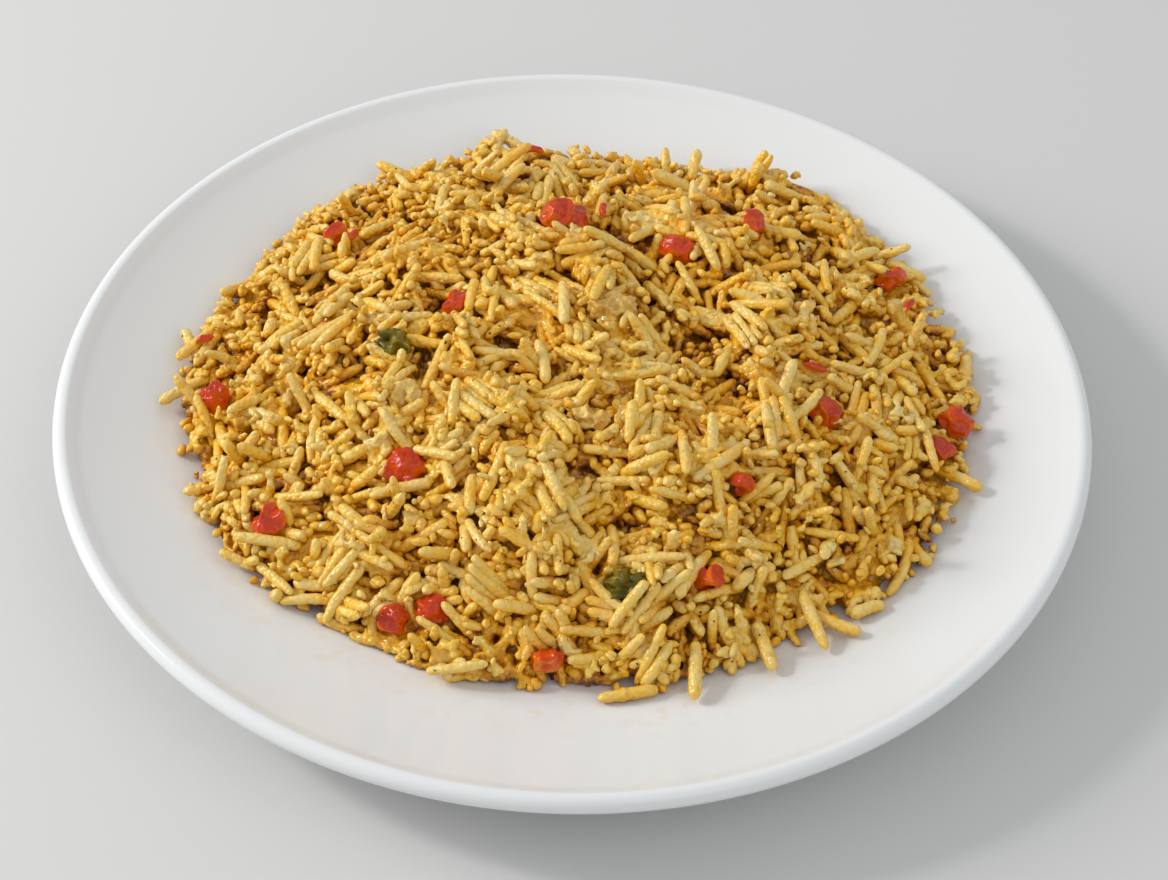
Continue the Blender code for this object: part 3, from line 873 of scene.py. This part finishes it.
def grain_tree():
    """Skins each spine with a round, slightly lumpy surface and closes its ends."""
    tree, given, result = tree_for("grain skin", (
        ("Sides", "NodeSocketInt", 8),
        ("Lump size", "NodeSocketFloat", 2.2 * MM),
        ("Lump height", "NodeSocketFloat", 0.22 * MM),
        ("Finish", "NodeSocketMaterial", None),
    ))
    new = tree.nodes.new
    curves, radius = new("GeometryNodeMeshToCurve"), new("GeometryNodeSetCurveRadius")
    ring, skin = new("GeometryNodeCurvePrimitiveCircle"), new("GeometryNodeCurveToMesh")
    ring.inputs["Radius"].default_value = 1
    skin.inputs["Fill Caps"].default_value = True
    lumps, normal, centred = new("ShaderNodeTexNoise"), new("GeometryNodeInputNormal"), new("ShaderNodeMath")
    centred.operation = "SUBTRACT"
    centred.inputs[1].default_value = 0.5
    per_metre, height = new("ShaderNodeMath"), new("ShaderNodeMath")
    per_metre.operation, height.operation = "DIVIDE", "MULTIPLY"
    per_metre.inputs[0].default_value = 1
    lumps.inputs["Detail"].default_value = 1
    out = new("ShaderNodeVectorMath")
    out.operation = "SCALE"
    move, smooth, realize, paint = (
        new("GeometryNodeSetPosition"), new("GeometryNodeSetShadeSmooth"),
        new("GeometryNodeRealizeInstances"), new("GeometryNodeSetMaterial"),
    )
    join_nodes(
        tree,
        (given.outputs["Geometry"], curves.inputs["Mesh"]),
        (curves.outputs[0], radius.inputs["Curve"]),
        (named_attribute(tree, "thickness"), radius.inputs["Radius"]),
        (radius.outputs[0], skin.inputs["Curve"]),
        (named_attribute(tree, "thickness"), skin.inputs["Scale"]),
        (given.outputs["Sides"], ring.inputs["Resolution"]),
        (ring.outputs["Curve"], skin.inputs["Profile Curve"]),
        (skin.outputs[0], move.inputs["Geometry"]),
        (given.outputs["Lump size"], per_metre.inputs[1]),
        (per_metre.outputs[0], lumps.inputs["Scale"]),
        (lumps.outputs["Fac"], centred.inputs[0]),
        (centred.outputs[0], height.inputs[0]),
        (given.outputs["Lump height"], height.inputs[1]),
        (normal.outputs["Normal"], out.inputs[0]),
        (height.outputs[0], out.inputs["Scale"]),
        (out.outputs[0], move.inputs["Offset"]),
        (move.outputs[0], smooth.inputs["Geometry"]),
        (smooth.outputs[0], realize.inputs["Geometry"]),
        (realize.outputs[0], paint.inputs["Geometry"]),
        (given.outputs["Finish"], paint.inputs["Material"]),
        (paint.outputs[0], result.inputs["Geometry"]),
    )
    return tree


def set_input(modifier, tree, title, value):
    """Sets a modifier's input by its socket's identifier."""
    socket = next(s for s in tree.interface.items_tree if s.name == title and s.in_out == "INPUT")
    modifier[socket.identifier] = value


def skin_grains(name, tree, spine_points, thickness, tint, settings):
    """A piece made of the given grains."""
    count, rings = thickness.shape
    mesh = bpy.data.meshes.new(name)
    edges = [(g * rings + i, g * rings + i + 1) for g in range(count) for i in range(rings - 1)]
    mesh.from_pydata(spine_points.reshape(-1, 3).tolist(), edges, [])
    for title, values in (("thickness", thickness), ("tint", np.repeat(tint, rings))):
        kept = mesh.attributes.new(title, "FLOAT", "POINT")
        kept.data.foreach_set("value", values.ravel().astype(np.float32))
    obj = bpy.data.objects.new(name, mesh)
    bpy.context.scene.collection.objects.link(obj)
    skin = obj.modifiers.new("skin", "NODES")
    skin.node_group = tree
    for title, value in settings:
        set_input(skin, tree, title, value)
    plain_mesh(obj)
    made = obj.data
    bpy.data.objects.remove(obj, do_unlink=True)
    return made


def fused_mesh(parts, voxel):
    """The parts as one skin, softened where they touch, as sticky grains are."""
    joined = bmesh.new()
    for part in parts:
        joined.from_mesh(part)
    mesh = bpy.data.meshes.new("fused")
    joined.to_mesh(mesh)
    joined.free()
    obj = bpy.data.objects.new("fused", mesh)
    bpy.context.scene.collection.objects.link(obj)
    skin = obj.modifiers.new("one skin", "REMESH")
    skin.mode = "VOXEL"
    skin.voxel_size = voxel
    soften = obj.modifiers.new("soften", "SMOOTH")
    soften.factor, soften.iterations = 0.3, 1
    plain_mesh(obj)
    made = obj.data
    bpy.data.objects.remove(obj, do_unlink=True)
    bumps = bmesh.new()
    bumps.from_mesh(made)
    bumps.normal_update()
    shifts = []
    for vert in bumps.verts:
        bead = 1.5 * abs(noise.noise(vert.co / (2.1 * MM))) - 0.35
        shifts.append(vert.normal * MM * (bead + 0.3 * noise.noise(vert.co / (1.0 * MM))))
    for vert, shift in zip(bumps.verts, shifts):
        vert.co += shift
    bumps.to_mesh(made)
    bumps.free()
    return made


def slab_of(mesh, low, high):
    """The part of a closed mesh between two places along x, closed again along the cuts."""
    slab = bmesh.new()
    slab.from_mesh(mesh)
    for place, side in ((low, -1), (high, 1)):
        everything = slab.verts[:] + slab.edges[:] + slab.faces[:]
        cut = bmesh.ops.bisect_plane(
            slab, geom=everything, plane_co=(place, 0, 0), plane_no=(side, 0, 0), clear_outer=True
        )
        rim = [g for g in cut["geom_cut"] if isinstance(g, bmesh.types.BMEdge)]
        if rim:
            bmesh.ops.holes_fill(slab, edges=rim)
    for edge in slab.edges:
        edge.smooth = not any(all(abs(v.co.x - place) < 1e-7 for v in edge.verts) for place in (low, high))
    made = bpy.data.meshes.new("slab")
    slab.to_mesh(made)
    slab.free()
    return made


def rice_finish(name, glow, lighter):
    """Wet cooked rice with painted light and shade: a painted highlight of cream on top of each grain,
    golden at its sides, and painted shade of brown down in the gaps.
    """
    rice = Finish(name)
    mottle = rice.math("MULTIPLY", rice.math("SUBTRACT", rice.noise(2.2 * MM, 2, seed=5.0), 0.5), 0.5)
    level = rice.math("ADD", lighter(rice), mottle)
    fine = rice.math("SUBTRACT", rice.noise(0.6 * MM, 1, seed=4.0), 0.5)
    level = rice.math("MULTIPLY_ADD", fine, 0.5, level)
    # Painted shade and highlight: the deeper a point lies in the heap, the browner and darker it is painted,
    # and the more it faces out of the heap, the paler it is painted.
    level = rice.math("ADD", level, rice.ramp(rice.attribute("outer"), 0, 0.75, 0.10, 0.52))
    level = rice.math("MULTIPLY_ADD", rice.attribute("outer"), 0.16, level)
    level = rice.math("MULTIPLY_ADD", rice.attribute("crest"), 0.16, level)
    tone = rice.colours(
        level,
        (0.10, (0.17, 0.042, 0.001, 1)),
        (0.28, (0.52, 0.190, 0.002, 1)),
        (0.50, (0.81, 0.405, 0.010, 1)),
        (0.72, (0.85, 0.520, 0.055, 1)),
        (1.00, (0.83, 0.620, 0.210, 1)),
    )
    patch = rice.ramp(rice.noise(7 * MM, 1, seed=7.0), 0.56, 0.68, 0, 0.55)
    tone = rice.mix(patch, tone, (0.84, 0.415, 0.005, 1))
    beads = rice.math("POWER", rice.cells(1.2 * MM), 2.0)
    grit = rice.math("SUBTRACT", rice.math("MULTIPLY", rice.noise(0.9 * MM, 1, seed=8.0), 0.6), beads)
    wet = rice.bump(grit, 0.40 * MM, 0.9)
    rice.set(
        base_color=tone,
        roughness=0.21,
        specular_ior_level=0.55,
        subsurface_weight=glow,
        subsurface_radius=(1.0, 0.9, 0.75),
        subsurface_scale=0.8 * MM,
        normal=wet,
    )
    return rice.material


centres, directions, lengths, radii, held, layer = lay_grains()
beads = settle(centres, directions, lengths, radii, held)
out_of_heap = np.hypot(beads[..., 0], beads[..., 1]) - heap_radius(np.arctan2(beads[..., 1], beads[..., 0]))
stays = ~over_vegetables(beads) & ((out_of_heap.max(1) < OVERHANG) | held)
centres, lengths, radii, beads, layer = (part[stays] for part in (centres, lengths, radii, beads, layer))
skin_tree = grain_tree()
tints = np.clip(draw.normal(0.07, 0.05, len(lengths)), -0.05, 0.22)

mass_material = rice_finish(
    "packed rice", 0.0, lambda rice: rice.ramp(rice.noise(4 * MM, 1, seed=6.0), 0.3, 0.7, -0.05, 0.2)
)
sticky = np.array([noise.noise(Vector(c) / (9 * MM)) for c in centres])
broken = lengths < 9 * MM
fused = (layer == 0) | ((layer == 1) & (sticky > 0.25))
fragment_points, fragment_thickness = lay_fragments()
stays = ~over_vegetables(fragment_points)
fragment_points, fragment_thickness = fragment_points[stays], fragment_thickness[stays]
crumbled = np.array([noise.noise(Vector(p[2]) / (9 * MM)) for p in fragment_points]) > 0.05
settings = (("Sides", 6), ("Lump size", 1.6 * MM), ("Lump height", 0.3 * MM), ("Finish", mass_material))
mass = fused_mesh(
    [
        packed_rice_mesh(),
        skin_grains(
            "fused grains", skin_tree, *spines(beads[fused], lengths[fused], radii[fused], 7),
            tints[fused], settings,
        ),
        skin_grains(
            "fused fragments", skin_tree, fragment_points[crumbled], fragment_thickness[crumbled],
            np.ones(crumbled.sum()), settings,
        ),
    ],
    MASS_VOXEL,
)
for order, (low, high) in enumerate(zip(MASS_CUTS, MASS_CUTS[1:]), 1):
    slab = store_place(slab_of(mass, low, high))
    add_piece(f"rice_mass_{order}", slab, mass_material, "rice", "coconut_rice")

grain_material = rice_finish("rice grains", 0.25, lambda rice: rice.attribute("tint"))
batches = {
    "whole_grains_low": ~broken & ~fused & (layer == 1),
    "whole_grains_top": ~broken & ~fused & (layer > 1),
    "broken_grains": broken & ~fused,
}
for name, chosen in batches.items():
    inner, sides = (3, 8) if name == "broken_grains" else (9, 9)
    skinned = skin_grains(
        name, skin_tree, *spines(beads[chosen], lengths[chosen], radii[chosen], inner), tints[chosen],
        (("Sides", sides), ("Lump size", 1.1 * MM), ("Lump height", 0.42 * MM), ("Finish", grain_material)),
    )
    add_piece(name, store_place(skinned), grain_material, "rice")

fragments = skin_grains(
    "fragments", skin_tree, fragment_points[~crumbled], fragment_thickness[~crumbled],
    np.clip(draw.normal(0.04, 0.06, (~crumbled).sum()), -0.08, 0.22),
    (("Sides", 6), ("Lump size", 1.3 * MM), ("Lump height", 0.34 * MM), ("Finish", grain_material)),
)
add_piece("rice_fragments", store_place(fragments), grain_material, "rice")


# ---------------------------------------------------------------- tomato shreds
# Thin curled strips of tomato skin that came off in the pan. They are wet and stick
# flat to the top of the rice.

SHREDS = (
    # x, y, length, direction in degrees
    (83.5, 32.5, 4.5, 60),
    (-91.5, 18, 4.5, 10),
    (6.5, 53, 5.0, 90),
    (-56.5, 50, 4.5, 70),
    (-12.5, 88, 5.5, 0),
    (58, 3, 6.0, -5),
    (25.5, -60.5, 3.5, 20),
)
SHRED_LIFT = 2.4 * MM
SHRED_RADIUS = 0.95 * MM

shred_points, shred_thickness = [], []
for x, y, length, heading in SHREDS:
    heading = math.radians(heading)
    at = np.linspace(-0.5, 0.5, 6) * length * MM
    curl = 0.6 * MM * np.cos(np.linspace(-1.5, 1.5, 6))
    strip_x = x * MM + at * math.cos(heading) - curl * math.sin(heading)
    strip_y = y * MM + at * math.sin(heading) + curl * math.cos(heading)
    low = np.maximum(read_grid(heap_grid, strip_x, strip_y), plate_top(np.hypot(strip_x, strip_y)) + 1 * MM)
    shred_points.append(np.stack([strip_x, strip_y, low + SHRED_LIFT], -1))
    shred_thickness.append(SHRED_RADIUS * np.array([0.3, 0.85, 1.1, 0.9, 1.0, 0.3]))
shreds = skin_grains(
    "tomato shreds", skin_tree, np.array(shred_points), np.array(shred_thickness), np.zeros(len(SHREDS)),
    (("Sides", 10), ("Lump size", 1.2 * MM), ("Lump height", 0.5 * MM), ("Finish", tomato.material)),
)
add_piece("tomato_shreds", store_place(shreds), tomato.material, "tomato")


# ---------------------------------------------------------------- crumbs and specks
# Grated coconut and starch that cling to the grains as pale crumbs, and ground pepper
# that sticks to them as dark specks. Both are held by the wet surface.

CRUMBS = 900
SPECKS = 260


def scatter_tree():
    """Sets a rough little lump on every point, turned and scaled at random."""
    tree, given, result = tree_for("scatter", (
        ("Smallest", "NodeSocketFloat", 0.3 * MM),
        ("Largest", "NodeSocketFloat", 0.6 * MM),
        ("Seed", "NodeSocketInt", 1),
        ("Finish", "NodeSocketMaterial", None),
    ))
    new = tree.nodes.new
    lump, place, spin, size = (
        new("GeometryNodeMeshIcoSphere"), new("GeometryNodeInstanceOnPoints"),
        new("FunctionNodeRandomValue"), new("FunctionNodeRandomValue"),
    )
    lump.inputs["Radius"].default_value = 1
    lump.inputs["Subdivisions"].default_value = 1
    spin.data_type = size.data_type = "FLOAT_VECTOR"
    spin.inputs["Max"].default_value = (6.28, 6.28, 6.28)
    smooth, realize, paint = (
        new("GeometryNodeSetShadeSmooth"), new("GeometryNodeRealizeInstances"),
        new("GeometryNodeSetMaterial"),
    )
    join_nodes(
        tree,
        (given.outputs["Geometry"], place.inputs["Points"]),
        (lump.outputs["Mesh"], place.inputs["Instance"]),
        (given.outputs["Smallest"], size.inputs["Min"]),
        (given.outputs["Largest"], size.inputs["Max"]),
        (given.outputs["Seed"], size.inputs["Seed"]),
        (given.outputs["Seed"], spin.inputs["Seed"]),
        (spin.outputs[0], place.inputs["Rotation"]),
        (size.outputs[0], place.inputs["Scale"]),
        (place.outputs[0], realize.inputs["Geometry"]),
        (realize.outputs[0], smooth.inputs["Geometry"]),
        (smooth.outputs[0], paint.inputs["Geometry"]),
        (given.outputs["Finish"], paint.inputs["Material"]),
        (paint.outputs[0], result.inputs["Geometry"]),
    )
    return tree


def points_on_grains(number, sink):
    """Points on the sides of the grains that face out of the heap."""
    grain = draw.choice(np.flatnonzero(~fused), number)
    along = draw.uniform(0, BEADS - 1.001, number)
    lower = along.astype(int)
    share = (along - lower)[:, None]
    spot = beads[grain, lower] * (1 - share) + beads[grain, lower + 1] * share
    way = unit(beads[grain, -1] - beads[grain, 0])
    normal = heap_normal(spot[:, 0], spot[:, 1])
    out = unit(normal + 0.9 * draw.normal(size=(number, 3)))
    out = unit(out - way * (out * way).sum(-1, keepdims=True))
    return spot + out * (radii[grain] * sink)[:, None]


def scatter(name, tree, points, smallest, largest, seed, material):
    mesh = bpy.data.meshes.new(name)
    mesh.from_pydata(points.tolist(), [], [])
    obj = bpy.data.objects.new(name, mesh)
    bpy.context.scene.collection.objects.link(obj)
    spread = obj.modifiers.new("scatter", "NODES")
    spread.node_group = tree
    for title, value in (("Smallest", smallest), ("Largest", largest), ("Seed", seed), ("Finish", material)):
        set_input(spread, tree, title, value)
    plain_mesh(obj)
    made = obj.data
    bpy.data.objects.remove(obj, do_unlink=True)
    return made


lump_tree = scatter_tree()

crumb = Finish("coconut crumbs")
crumb_tone = crumb.colours(
    crumb.noise(5 * MM, 2, seed=12.0),
    (0.30, (0.70, 0.38, 0.07, 1)),
    (0.55, (0.84, 0.56, 0.16, 1)),
    (0.80, (0.90, 0.69, 0.32, 1)),
)
crumb.set(
    base_color=crumb_tone,
    roughness=0.35,
    normal=crumb.bump(crumb.noise(0.4 * MM, 2), 0.1 * MM, 0.6),
)
crumb_points = points_on_grains(CRUMBS, 0.88)
add_piece(
    "coconut_crumbs",
    scatter("coconut crumbs", lump_tree, crumb_points, 0.30 * MM, 0.85 * MM, 3, crumb.material),
    crumb.material, "rice",
)

pepper = Finish("ground pepper")
pepper.set(
    base_color=pepper.colours(
        pepper.noise(4 * MM, 1, seed=13.0), (0.35, (0.02, 0.010, 0.004, 1)), (0.7, (0.16, 0.055, 0.012, 1))
    ),
    roughness=0.5,
)
speck_points = points_on_grains(SPECKS, 0.95)
add_piece(
    "pepper_specks",
    scatter("pepper specks", lump_tree, speck_points, 0.16 * MM, 0.42 * MM, 5, pepper.material),
    pepper.material, "rice",
)


# ---------------------------------------------------------------- stage
# A plain pale table top under the plate, which isn't part of it. A soft window lights it
# from the left and back, and a weak fill lifts the shadows at the right.

table_mesh = bpy.data.meshes.new("table")
table_mesh.from_pydata([(-3, -3, 0), (3, -3, 0), (3, 3, 0), (-3, 3, 0)], [], [(0, 1, 2, 3)])
table = bpy.data.objects.new("table", table_mesh)
bpy.context.scene.collection.objects.link(table)
table_finish = Finish("pale table")
table_finish.set(
    base_color=table_finish.mix(
        table_finish.noise(200 * MM, 3), (0.62, 0.62, 0.61, 1), (0.66, 0.66, 0.65, 1)
    ),
    roughness=0.7,
)
table_mesh.materials.append(table_finish.material)


def soft_light(name, place, target, size, power, colour):
    lamp = bpy.data.lights.new(name, "AREA")
    lamp.shape, lamp.size, lamp.energy, lamp.color = "DISK", size, power, colour
    obj = bpy.data.objects.new(name, lamp)
    bpy.context.scene.collection.objects.link(obj)
    obj.location = place
    obj.rotation_euler = (Vector(target) - Vector(place)).to_track_quat("-Z", "Y").to_euler()
    return obj


soft_light("window", (-1.25, 0.30, 0.60), (0, 0, 0.02), 0.6, 9.0, (1.0, 0.985, 0.96))
soft_light("window pane", (-1.1, 0.10, 0.80), (0, 0, 0.02), 0.18, 5.0, (1.0, 0.985, 0.96))
soft_light("fill", (0.7, -0.7, 0.9), (0, 0, 0.02), 1.2, 2.6, (0.95, 0.97, 1.0))
world = bpy.data.worlds.new("room")
bpy.context.scene.world = world
world.use_nodes = True
world.node_tree.nodes["Background"].inputs["Color"].default_value = (0.95, 0.965, 0.98, 1)
world.node_tree.nodes["Background"].inputs["Strength"].default_value = 0.62
bpy.context.scene.view_settings.view_transform = "Standard"

CAMERA_HEIGHT_ANGLE = math.radians(45.32)
CAMERA_ROLL = math.radians(-1.5)
CAMERA_PLACE = (2.8 * MM, -484.5 * MM, 496.9 * MM)
lens = bpy.data.cameras.new("camera")
lens.sensor_width, lens.lens = 36, 86.3
lens.clip_start, lens.clip_end = 0.05, 20
camera = bpy.data.objects.new("camera", lens)
bpy.context.scene.collection.objects.link(camera)
camera.matrix_world = (
    Matrix.Translation(CAMERA_PLACE)
    @ Matrix.Rotation(math.pi / 2 - CAMERA_HEIGHT_ANGLE, 4, "X")
    @ Matrix.Rotation(-CAMERA_ROLL, 4, "Z")
)
bpy.context.scene.camera = camera

bpy.context.view_layer.update()
